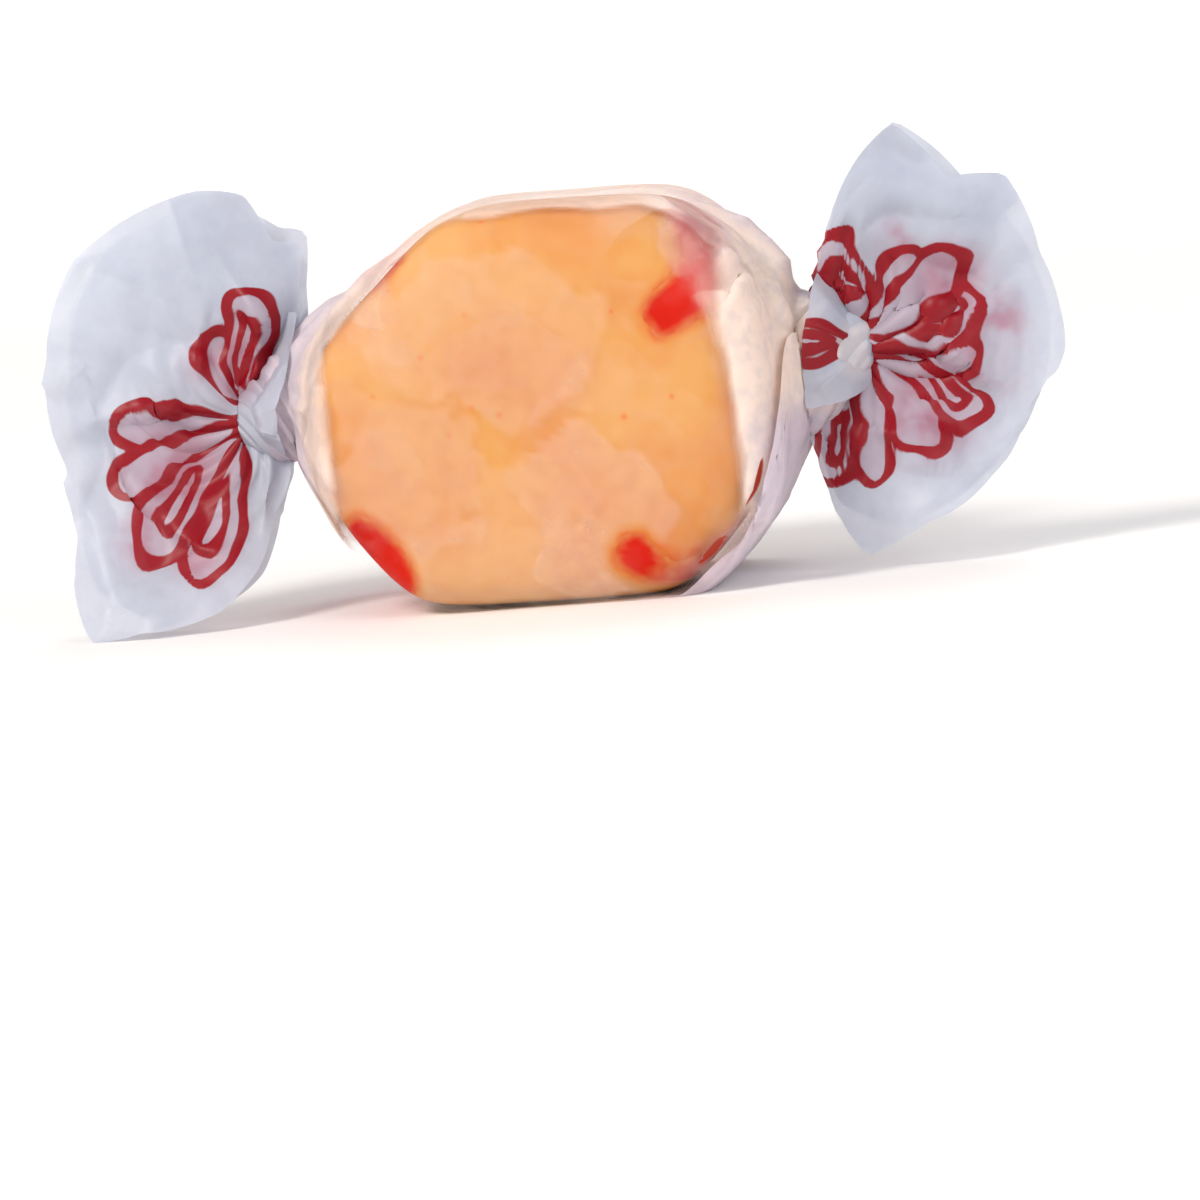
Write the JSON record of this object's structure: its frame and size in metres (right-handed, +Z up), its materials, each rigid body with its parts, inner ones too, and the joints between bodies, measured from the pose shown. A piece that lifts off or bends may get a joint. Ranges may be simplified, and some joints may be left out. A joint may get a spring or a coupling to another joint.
{
  "type": "salt water taffy",
  "caption": "Short round of pulled taffy with coloured stripes through it, rolled in translucent wax paper with twisted, fanned ends, standing on its rim.",
  "frame": {"origin": "on the floor, in the small flat on the rim that the taffy rests on", "axes": "+X along the twists, to the right seen from the front; -Y the round face that is looked at; +Z up"},
  "size_m": [0.0507, 0.0178, 0.0218],
  "materials": {
    "taffy": "soft satin candy, cream orange",
    "stripe": "soft satin candy, orange red",
    "wax_paper": "thin translucent wax paper, soft sheen, dark red ornament near the twists"
  },
  "bodies": {
    "root": {"candy": "taffy", "stripe_upper_right": "stripe", "stripe_upper_left": "stripe", "stripe_lower_left": "stripe", "stripe_lower_right": "stripe", "wrapper": "wax_paper"}
  },
  "joints": []
}
